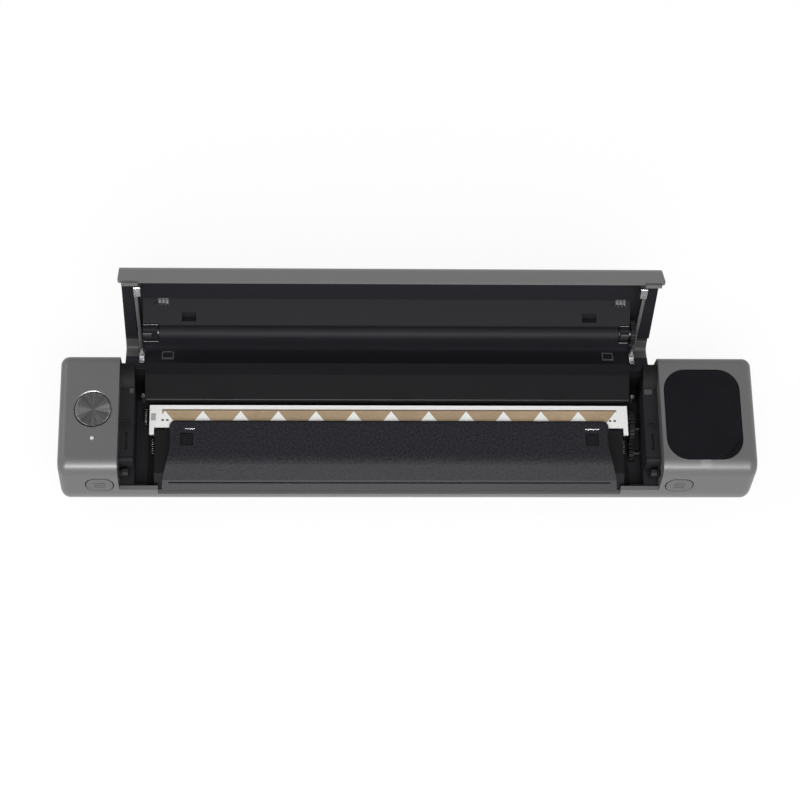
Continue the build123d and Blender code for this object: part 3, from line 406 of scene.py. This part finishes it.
def glazedCeramic(name, values):
    material, tree, shader, coords = startMaterial(name)
    split = tree.nodes.new("ShaderNodeSeparateXYZ")
    tree.links.new(coords, split.inputs[0])
    x, y = split.outputs["X"], split.outputs["Y"]

    def both(first, second):
        return mathOf(tree, "MULTIPLY", first, second)

    def between(value, low, high):
        return both(mathOf(tree, "GREATER_THAN", value, low),
                    mathOf(tree, "LESS_THAN", value, high))

    def toned(part):
        return rampOf(tree, grain, list(zip((0.3, 0.7), values[part])))

    inBand = both(between(x, values["bandLeft"], values["bandRight"]),
                  between(y, values["bandFront"], values["bandBack"]))
    # white peaks stand on the front edge and repeat along the strip
    offset = mathOf(tree, "SUBTRACT", x, values["firstPeak"] - values["peakPitch"] * 20)
    step = mathOf(tree, "PINGPONG", offset, values["peakPitch"] / 2)
    slope = (values["peakTip"] - values["peakHalfAt"]) / values["peakHalf"]
    rise = mathOf(tree, "SUBTRACT", values["peakTip"], mathOf(tree, "MULTIPLY", step, slope))
    inPeak = mathOf(tree, "LESS_THAN", y, rise)
    band = both(inBand, mathOf(tree, "SUBTRACT", 1.0, inPeak))
    line = both(inBand, mathOf(tree, "GREATER_THAN", y, values["bandBack"] - values["lineWidth"]))
    # two small contact marks near each end
    pitch, reach, marks = values["markPitch"], values["markHalf"], None
    for centre in values["marks"]:
        run = mathOf(tree, "PINGPONG", mathOf(tree, "SUBTRACT", x, centre - 2 * pitch), pitch)
        pair = both(between(run, values["markInner"], values["markOuter"]),
                    between(x, centre - pitch, centre + pitch))
        pair = both(pair, between(y, values["markPlace"] - reach, values["markPlace"] + reach))
        marks = mathOf(tree, "MAXIMUM", marks, pair) if marks else pair
    grain = noiseAt(tree, coords, 1400.0, 3.0, 0.6, (0.2, 1, 1))
    cloud = noiseAt(tree, coords, 60.0, 2.0, 0.5)
    brown = timesColor(tree, toned("brown"), rampOf(tree, cloud, [(0.3, 0.9), (0.7, 1.1)]))
    color = mixColor(tree, band, toned("white"), brown)
    color = mixColor(tree, line, color, toned("line"))
    color = mixColor(tree, marks, color, values["mark"])
    left, right, front, back = values["padSpan"]
    onPad = both(between(x, left, right), between(y, front, back))
    color = mixColor(tree, onPad, color, values["pad"])
    tree.links.new(color, shader.inputs["Base Color"])
    tree.links.new(rampOf(tree, band, [(0.0, 0.3), (1.0, 0.4)]), shader.inputs["Roughness"])
    shader.inputs["Specular IOR Level"].default_value = 0.4
    grainBump(tree, shader, band, 0.15, 0.00002, grainBump(tree, shader, grain, 0.08, 0.00001))
    return material


plasticValues = {
    "caseTexture": {"color": 0.112, "rough": 0.36, "grain": 3600.0, "bump": 0.3, "fleck": 0.09,
                    "spread": 0.02},
    "basePlastic": {"color": 0.05, "rough": 0.5, "grain": 2600.0},
    "padRubber": {"color": 0.02, "rough": 0.75, "grain": 2200.0, "bump": 0.4},
    "frameBlack": {"color": 0.013, "rough": 0.5, "grain": 2400.0, "specular": 0.05, "warm": -0.05},
    "rampSpeckle": {"color": 0.0192, "rough": 0.42, "grain": 1000.0, "bump": 0.6, "depth": 0.00007,
                    "fleck": 0.4, "specular": 0.13, "warm": -0.14},
    "guideSatin": {"color": 0.0056, "rough": 0.45, "grain": 2400.0, "specular": 0.05,
                   "warm": -0.14},
    "windowBlack": {"color": 0.0095, "rough": 0.3, "grain": 900.0, "bump": 0.05, "specular": 0.15,
                    "warm": -0.1},
    "rollerRubber": {"color": 0.02, "rough": 0.6, "grain": 1800.0, "specular": 0.1, "warm": -0.1},
    "gearNylon": {"color": 0.018, "rough": 0.5, "grain": 1500.0, "specular": 0.1},
    "bushNylon": {"color": 0.03, "rough": 0.4, "grain": 1500.0, "specular": 0.3},
    "displayGloss": {"color": 0.0028, "rough": 0.14, "grain": 500.0, "bump": 0.0, "specular": 0.18,
                     "fleck": 0.02, "warm": -0.5},
    "boardGreen": {"color": 0.05, "rough": 0.4, "grain": 900.0},
    "cellWrap": {"color": 0.06, "rough": 0.3, "grain": 900.0},
    "clipGrey": {"color": 0.24, "rough": 0.35, "grain": 1500.0, "specular": 0.4},
    "tabGrey": {"color": 0.06, "rough": 0.35, "grain": 1500.0, "specular": 0.4},
}

twoToneAndPaintedLightValues = {
    # painted shade: the cheeks are dull black, coloured darker at the back, where they rise to the
    # hinge
    "ledgeBlackPaintedShade": {"axis": "Y", "place": 0.0172, "before": 0.021, "after": 0.0085, "rough": 0.48,
                   "grain": 2000.0, "specular": 0.06, "warm": -0.08},
    # painted light: the liner is coloured a lighter black behind the roller, at its foot, where it
    # lies in shade
    "linerBlackPaintedLight": {"axis": "Z", "place": 0.024, "before": 0.036, "after": 0.0165, "rough": 0.55,
                   "grain": 1600.0, "specular": 0.06, "warm": -0.14},
    # grey button in front, black latch slider behind
    "releaseTexture": {"axis": "Y", "place": -0.0262, "before": 0.105, "after": 0.011, "rough": 0.4,
                       "grain": 3600.0},
}

metalValues = {
    "ringMetal": {"color": 0.17, "rough": 0.38},
    "steelBright": {"color": 0.55, "rough": 0.28},
    "steelSatin": {"color": 0.3, "rough": 0.38},
    "steelDark": {"color": 0.13, "rough": 0.4},
    "pinDark": {"color": 0.035, "rough": 0.6},
    "strapSteel": {"color": 0.11, "rough": 0.42},
    "rodSteel": {"color": 0.3, "rough": 0.42},
    "screwBlack": {"color": 0.04, "rough": 0.4},
    "aluminiumFin": {"color": 0.6, "rough": 0.35, "stretch": (0.1, 1, 1)},
}

discValues = {
    "centre": (-0.1493, 0.0039, 0),     # middle of the power button
    "ringScale": 5200.0,
    # painted highlight: size and strength of the fan sectors in the disc's colour
    "paintedFanScale": 3.2,
    "paintedFan": 0.26,
    "color": 0.17,
    "rough": 0.3,
    "anisotropic": 0.92,
}

filmValues = {"color": (0.8, 0.81, 0.84, 1), "rough": 0.11, "cover": 0.004, "tabBack": -0.0207,
              "tabCover": 0.05}

lensValues = {"low": 0.54, "high": 0.64, "rough": 0.35}

finishes = {}
for make, family in ((mouldedPlastic, plasticValues), (twoToneAndPaintedLightPlastic, twoToneAndPaintedLightValues),
                     (bareMetal, metalValues)):
    for finish, setting in family.items():
        finishes[finish] = make(finish, setting)
finishes["spunDisc"] = spunMetal("spunDisc", discValues)
finishes["clearFilm"] = clearFilm("clearFilm", filmValues)
finishes["lightLens"] = lightLens("lightLens", lensValues)
finishes["glazedCeramic"] = glazedCeramic("glazedCeramic", headValues)

# the printer's own parts that wear each finish
finishOf = {
    "caseTexture": ["outer_case", "cover_shell"],
    "basePlastic": ["base_plate"],
    "padRubber": ["anti_slip_pads"],
    "frameBlack": ["inner_frame"],
    "ledgeBlackPaintedShade": ["side_frame_left", "side_frame_right"],
    "rampSpeckle": ["front_guide"],
    "guideSatin": ["rear_guide"],
    "linerBlackPaintedLight": ["cover_liner"],
    "windowBlack": ["sensor_windows"],
    "rollerRubber": ["platen_roller"],
    "gearNylon": ["idler_gear", "motor_pinion", "platen_gear"],
    "bushNylon": ["platen_bushes"],
    "releaseTexture": ["release_button_left", "release_button_right"],
    "displayGloss": ["display_glass"],
    "boardGreen": ["main_board"],
    "cellWrap": ["battery_cells"],
    "spunDisc": ["power_button"],
    "ringMetal": ["button_ring"],
    "steelBright": ["brace_clip_left", "brace_clip_right", "hinge_bracket_left",
                    "hinge_bracket_right", "hinge_pin_left", "hinge_pin_right", "usb_port"],
    "steelSatin": ["platen_shaft", "head_springs"],
    "rodSteel": ["brace_left", "brace_right"],
    "steelDark": ["base_screws", "drive_motor"],
    "pinDark": ["motor_shaft", "idler_pin"],
    "screwBlack": ["ledge_screws"],
    "aluminiumFin": ["head_heatsink"],
    "clearFilm": ["display_film"],
    "lightLens": ["status_light"],
    "glazedCeramic": ["print_head"],
}

for finish, members in finishOf.items():
    for member in members:
        mesh = nodes[member].data
        mesh.materials.clear()
        mesh.materials.append(finishes[finish])
bare = sorted(set(nodes) - {member for members in finishOf.values() for member in members})
print("finishes set, nodes left bare:", bare)


# ways of shaping: from here on every length is in millimetres
sides = ("left", "right")
bayMiddle = -8.55
hingeValues = {"y": 29.2, "z": 20.5, "open": 113.0}
hingePivot = (0, hingeValues["y"] / 1000, hingeValues["z"] / 1000)


def pickOnly(piece):
    bpy.ops.object.select_all(action="DESELECT")
    piece.select_set(True)
    bpy.context.view_layer.objects.active = piece


def settle():
    # puts the place, turn and scale into the mesh
    bpy.ops.object.transform_apply(location=True, rotation=True, scale=True)


def startBlock(name, xSpan, ySpan, zSpan):
    bpy.ops.object.select_all(action="DESELECT")
    spans = (xSpan, ySpan, zSpan)
    middle = [(low + high) / 2000 for low, high in spans]
    bpy.ops.mesh.primitive_cube_add(size=0.001, location=middle)
    piece = bpy.context.object
    piece.name = name
    piece.scale = [high - low for low, high in spans]
    settle()
    return piece


def startRound(name, x, y, zSpan, radius, edges=32):
    # an upright cylinder
    bpy.ops.object.select_all(action="DESELECT")
    low, high = zSpan
    bpy.ops.mesh.primitive_cylinder_add(vertices=edges, radius=radius / 1000,
                                        depth=(high - low) / 1000,
                                        location=(x / 1000, y / 1000, (low + high) / 2000))
    piece = bpy.context.object
    piece.name = name
    settle()
    return piece


def openForPicking(piece, kind):
    bpy.context.view_layer.objects.active = piece
    bpy.ops.object.mode_set(mode="EDIT")
    bpy.ops.mesh.select_mode(type=kind)
    bpy.ops.mesh.select_all(action="DESELECT")
    return bmesh.from_edit_mesh(piece.data)


def pickFaces(piece, test):
    # chooses faces by their middle and their normal
    for face in openForPicking(piece, "FACE").faces:
        if test(face.calc_center_median() * 1000, face.normal):
            face.select_set(True)
    bmesh.update_edit_mesh(piece.data)


def pickEdges(piece, test):
    # chooses edges by their middle and their direction
    for edge in openForPicking(piece, "EDGE").edges:
        first, second = edge.verts[0].co, edge.verts[1].co
        if test((first + second) * 500, (second - first).normalized()):
            edge.select_set(True)
    bmesh.update_edit_mesh(piece.data)


def cutAcross(place, normal):
    # cuts the whole mesh at a plane and keeps both sides
    bpy.ops.object.mode_set(mode="EDIT")
    bpy.ops.mesh.select_all(action="SELECT")
    bpy.ops.mesh.bisect(plane_co=[part / 1000 for part in place], plane_no=normal)


def insetBy(rim, each=False):
    bpy.ops.mesh.inset(thickness=rim / 1000, depth=0, use_individual=each)


def slide(y=0, z=0):
    bpy.ops.transform.translate(value=(0, y / 1000, z / 1000))


def pushIn(y=0, z=0):
    # extrudes the chosen faces, so that a wall follows them
    bpy.ops.mesh.extrude_region_move(TRANSFORM_OT_translate={"value": (0, y / 1000, z / 1000)})


def softenEdges(piece, width, steps=2):
    # every edge is rounded a little, as moulded and pressed pieces are
    bpy.ops.object.mode_set(mode="OBJECT")
    bevel = piece.modifiers.new("softEdges", "BEVEL")
    bevel.width = width / 1000
    bevel.segments = steps
    bevel.limit_method = "ANGLE"
    bevel.angle_limit = math.radians(35)
    pickOnly(piece)
    bpy.ops.object.modifier_apply(modifier=bevel.name)
    bpy.ops.object.shade_smooth_by_angle(angle=math.radians(40))


def swingOpen(piece):
    # turns a piece that was shaped on the shut cover to where the open cover carries it
    pickOnly(piece)
    bpy.ops.transform.rotate(value=math.radians(hingeValues["open"]) * turnSign, orient_axis="X",
                             center_override=hingePivot)
    settle()


def findTurnSign():
    # with no window the turn may run either way, so a small block above the hinge is tried first
    probe = startBlock("turnProbe", (-1, 1), (28, 30), (39, 41))
    bpy.ops.transform.rotate(value=math.radians(90), orient_axis="X", center_override=hingePivot)
    settle()
    corners = [vertex.co.y for vertex in probe.data.vertices]
    backward = sum(corners) / len(corners) > hingePivot[1] + 0.01
    bpy.data.objects.remove(probe, do_unlink=True)
    return 1 if backward else -1


def mirrorCopy(piece, name, middle):
    # a mirrored twin about the plane x = middle, with its faces turned outwards again
    twin = piece.copy()
    twin.data = piece.data.copy()
    twin.name = name
    bpy.context.scene.collection.objects.link(twin)
    pickOnly(twin)
    bpy.ops.object.mode_set(mode="EDIT")
    bpy.ops.mesh.select_all(action="SELECT")
    bpy.ops.transform.resize(value=(-1, 1, 1), center_override=(middle / 1000, 0, 0))
    bpy.ops.mesh.normals_make_consistent(inside=False)
    bpy.ops.object.mode_set(mode="OBJECT")
    return twin


def dress(piece, finish, body):
    piece.data.materials.clear()
    piece.data.materials.append(finishes[finish])
    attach(piece, body)
    return piece


turnSign = findTurnSign()
print("turn sign", turnSign)


# coil springs in the left channel, and their twins in the right one
springValues = {
    "coils": [
        {"name": "channelSpring", "x": -126.0, "along": (4.7, 12.1), "z": 15.7, "radius": 1.3,
         "wire": 0.42, "turns": 7},
        {"name": "catchSpring", "x": -122.45, "along": (-10.2, -3.4), "z": 15.9, "radius": 1.2,
         "wire": 0.42, "turns": 6},
    ],
    "steps": 14,
    "wireSides": 8,
    "weld": 0.001,
}


def coilSpring(name, values, upright=False):
    # a Screw modifier sweeps a ring of wire round Y, or round Z where the spring stands upright
    wire, radius, (start, end) = values["wire"], values["radius"], values["along"]
    bpy.ops.object.select_all(action="DESELECT")
    bpy.ops.mesh.primitive_circle_add(vertices=springValues["wireSides"], radius=wire / 2000,
                                      location=(0, 0, 0))
    spring = bpy.context.object
    spring.name = name
    bpy.ops.object.mode_set(mode="EDIT")
    bpy.ops.mesh.select_all(action="SELECT")
    if upright:
        bpy.ops.transform.rotate(value=math.pi / 2, orient_axis="X", center_override=(0, 0, 0))
    bpy.ops.transform.translate(value=(radius / 1000, 0, 0))
    bpy.ops.object.mode_set(mode="OBJECT")
    screw = spring.modifiers.new("turns", "SCREW")
    screw.axis = "Z" if upright else "Y"
    screw.iterations = values["turns"]
    screw.screw_offset = (end - start - wire) / values["turns"] / 1000
    screw.steps = screw.render_steps = springValues["steps"]
    screw.use_merge_vertices = True
    screw.merge_threshold = springValues["weld"] / 1000
    bpy.ops.object.modifier_apply(modifier=screw.name)
    # both ends of the wire are closed
    bpy.ops.object.mode_set(mode="EDIT")
    bpy.ops.mesh.select_mode(type="EDGE")
    bpy.ops.mesh.select_all(action="DESELECT")
    bpy.ops.mesh.select_non_manifold()
    bpy.ops.mesh.edge_face_add()
    bpy.ops.mesh.select_all(action="SELECT")
    bpy.ops.mesh.normals_make_consistent(inside=False)
    bpy.ops.object.mode_set(mode="OBJECT")
    foot = start + wire / 2
    place = (values["x"], values["y"], foot) if upright else (values["x"], foot, values["z"])
    spring.location = [part / 1000 for part in place]
    settle()
    bpy.ops.object.shade_smooth_by_angle(angle=math.radians(60))
    return spring


for coil in springValues["coils"]:
    leftSpring = coilSpring(coil["name"] + "Left", coil)
    rightSpring = mirrorCopy(leftSpring, coil["name"] + "Right", bayMiddle)
    dress(leftSpring, "steelDark", "base")
    dress(rightSpring, "steelDark", "base")

headSpringValues = {"wire": 0.5, "turns": 4, "travel": 0.8}


def headSpring(name, side, values):
    # stands on the floor of the well, under the head, at one fixed length
    low, high = [[part * 1000 for part in corner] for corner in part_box("head_springs")]
    reach = (high[1] - low[1]) / 2
    sizes = dict(values)
    sizes["x"] = low[0] + reach if side == "left" else high[0] - reach
    sizes["y"] = (low[1] + high[1]) / 2
    sizes["along"] = (low[2], high[2])
    sizes["radius"] = reach - values["wire"] / 2
    spring = coilSpring(name, sizes, upright=True)
    dress(spring, "steelSatin", "base")
    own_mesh(spring)
    return spring


headSprings = [headSpring(side + "HeadSpring", side, headSpringValues) for side in sides]
for headCoil in headSprings:
    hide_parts("head_springs")
print("springs made")


# straps, clips and tabs on the cover, shaped with the cover shut
strapValues = {
    "left": (-127.0, -119.8),
    "right": (102.7, 107.4),
    "front": ((3.65, 4.05), (28.45, 29.7)),     # spans in Y and Z
    "rear": ((12.62, 12.97), (26.0, 29.2)),
    "edge": 0.12,
    "soft": 0.07,
}


def bearingStrap(name, xSpan, section, values):
    strap = startBlock(name, xSpan, *section)
    # the visible edge is folded over a little
    pickFaces(strap, lambda middle, normal: normal.z < -0.9)
    insetBy(values["edge"])
    slide(z=-values["edge"])
    softenEdges(strap, values["soft"])
    swingOpen(strap)
    return dress(strap, "strapSteel", "cover")


for side in sides:
    for place in ("front", "rear"):
        strapName = side + place.capitalize() + "Strap"
        bearingStrap(strapName, strapValues[side], strapValues[place], strapValues)

clipValues = {
    "left": (-119.2, -113.3),
    "right": (97.2, 102.7),
    "wall": 29.4,
    "z": (29.8, 35.0),
    "proud": 0.9,
    "rim": 0.55,
    "deep": 0.62,
    "mouth": 0.6,
    "soft": 0.12,
}


def paperClip(name, xSpan, values):
    # a shallow pocket with a rim on three sides
    front, top = values["wall"] - values["proud"], values["z"][1]
    clip = startBlock(name, xSpan, (front, values["wall"]), values["z"])
    pickFaces(clip, lambda middle, normal: normal.y < -0.9)
    insetBy(values["rim"])
    pushIn(y=values["deep"])
    for face in bmesh.from_edit_mesh(clip.data).faces:
        face.material_index = int(face.select)
    # the upper rim is pressed flat so that paper slides in
    pickEdges(clip, lambda middle, run: abs(run.x) > 0.9 and middle.z > top - 0.05
              and middle.y < front + 0.05)
    slide(y=values["mouth"])
    softenEdges(clip, values["soft"])
    swingOpen(clip)
    pocket = [face.material_index for face in clip.data.polygons]
    dress(clip, "clipGrey", "cover")
    clip.data.materials.append(finishes["linerBlackPaintedLight"])  # the pocket's floor is as dark as the liner
    clip.data.polygons.foreach_set("material_index", pocket)
    return clip


for side in sides:
    paperClip(side + "PaperClip", clipValues[side], clipValues)

tabValues = {
    "centres": (-117.0, 102.6),
    "width": 5.2,
    "y": (-6.4, -2.4),
    "z": (34.4, 36.9),      # from the tip to the root
    "ribs": 3,
    "rise": 1.9,
    "rim": 0.3,
    "dent": 0.35,
    "soft": 0.1,
}


def paperTab(name, centre, values):
    # a ribbed tongue at the foot of the liner's ramp
    left, front, tip = centre - values["width"] / 2, values["y"][0], values["z"][0]
    tab = startBlock(name, (left, centre + values["width"] / 2), values["y"], values["z"])
    pickEdges(tab, lambda middle, run: abs(run.x) > 0.9 and middle.z < tip + 0.1
              and middle.y < front + 0.1)
    slide(z=values["rise"])
    # grooves are cut across its face between the ribs
    for step in range(1, values["ribs"]):
        cutAcross((left + values["width"] * step / values["ribs"], 0, 0), (1, 0, 0))
    pickFaces(tab, lambda middle, normal: normal.z < -0.5)
    insetBy(values["rim"], each=True)
    slide(z=values["dent"])
    softenEdges(tab, values["soft"])
    swingOpen(tab)
    return dress(tab, "tabGrey", "cover")


for side, centre in zip(sides, tabValues["centres"]):
    paperTab(side + "PaperTab", centre, tabValues)
print("cover pieces made")


# small pieces on the ledges, in the channels and on the guides
postValues = {
    "places": [(-127.2, 17.2), (110.1, 17.2)],
    "radius": 1.0,
    "z": (14.0, 22.0),
    "waist": (2.2, 1.4),        # below the top
    "waistSize": 0.7,
    "slot": 0.5,
    "slotDepth": 0.6,
    "soft": 0.06,
}


def slottedPost(name, x, y, values):
    top = values["z"][1]
    low, high = [top - below for below in values["waist"]]
    halfSlot = values["slot"] / 2
    post = startRound(name, x, y, values["z"], values["radius"])
    # a waist below the head, then a slot across the top
    for height in (high, low):
        cutAcross((0, 0, height), (0, 0, 1))
    pickFaces(post, lambda middle, normal: abs(normal.z) < 0.1 and low < middle.z < high)
    bpy.ops.transform.resize(value=(values["waistSize"], values["waistSize"], 1),
                             center_override=(x / 1000, y / 1000, 0))
    for shift in (-halfSlot, halfSlot):
        cutAcross((x + shift, 0, 0), (1, 0, 0))
    pickFaces(post, lambda middle, normal: normal.z > 0.9 and abs(middle.x - x) < halfSlot)
    pushIn(z=-values["slotDepth"])
    softenEdges(post, values["soft"])
    return dress(post, "steelSatin", "base")


for side, place in zip(sides, postValues["places"]):
    slottedPost(side + "GuidePost", *place, postValues)


def dentedBar(name, xSpan, values):
    # a flat bar whose upper face is inset, and sunk or raised a little
    bar = startBlock(name, xSpan, values["y"], values["z"])
    pickFaces(bar, lambda middle, normal: normal.z > 0.9)
    insetBy(values["rim"])
    if values["lift"]:
        slide(z=values["lift"])
    softenEdges(bar, values["soft"])
    return dress(bar, values["finish"], "base")


plateValues = {"spans": [(-132.9, -131.0), (114.0, 117.9)], "y": (14.5, 17.0), "z": (32.55, 32.9),
               "rim": 0.5, "lift": -0.15, "soft": 0.08, "finish": "tabGrey"}
for side, span in zip(sides, plateValues["spans"]):
    dentedBar(side + "LedgePlate", span, plateValues)

# a bright spring edge that shows through a slit in front of each sensor
slitValues = {"spans": [(-106.6, -101.9), (85.5, 92.4)], "y": (-1.55, -1.1), "z": (26.8, 27.12),
              "rim": 0.1, "lift": 0.06, "soft": 0.05, "finish": "steelBright"}
for side, span in zip(sides, slitValues["spans"]):
    dentedBar(side + "SlitBar", span, slitValues)

# thin steel strip along the lower lip of the rear guide
stripValues = {"x": (-125.7, 107.3), "y": (13.2, 13.66), "z": (26.95, 27.25), "rim": 0.1,
               "lift": 0, "soft": 0.06, "finish": "steelDark"}
dentedBar("guideLipStrip", stripValues["x"], stripValues)

gripValues = {
    "middles": (-146.3, 129.4),
    "middleZ": 26.3,
    "slant": 15.0,
    "length": 5.4,
    "thick": 0.55,
    "proud": 0.22,
    "deep": 0.3,
    "round": 0.25,
    "roundSteps": 4,
    "apart": 1.7,
    "count": 3,
    "soft": 0.12,
}


def gripRidge(name, side, x, step, values):
    # a low rounded bar that stands on the slanted face of a release button
    slant = math.radians(values["slant"])
    outward = Vector((0, -math.cos(slant), math.sin(slant)))
    button = nodes["release_button_" + side].data
    faceReach = max(vertex.co.dot(outward) for vertex in button.vertices) * 1000
    z = values["middleZ"] + step * math.cos(slant)
    y = (outward.z * z - faceReach) / -outward.y
    half, rise = values["length"] / 2, values["thick"] / 2
    ridge = startBlock(name, (x - half, x + half), (y - values["proud"], y + values["deep"]),
                       (z - rise, z + rise))
    pickEdges(ridge, lambda middle, run: abs(run.z) > 0.9)
    bpy.ops.mesh.bevel(offset=values["round"] / 1000, segments=values["roundSteps"], affect="EDGES")
    bpy.ops.object.mode_set(mode="OBJECT")
    bpy.ops.transform.rotate(value=slant * turnSign, orient_axis="X",
                             center_override=(x / 1000, y / 1000, z / 1000))
    settle()
    softenEdges(ridge, values["soft"])
    return dress(ridge, "releaseTexture", "release_" + side)


for side, centre in zip(sides, gripValues["middles"]):
    for number in range(gripValues["count"]):
        step = (number - (gripValues["count"] - 1) / 2) * gripValues["apart"]
        gripRidge(side + "Grip" + str(number + 1), side, centre, step, gripValues)
print("base pieces made")
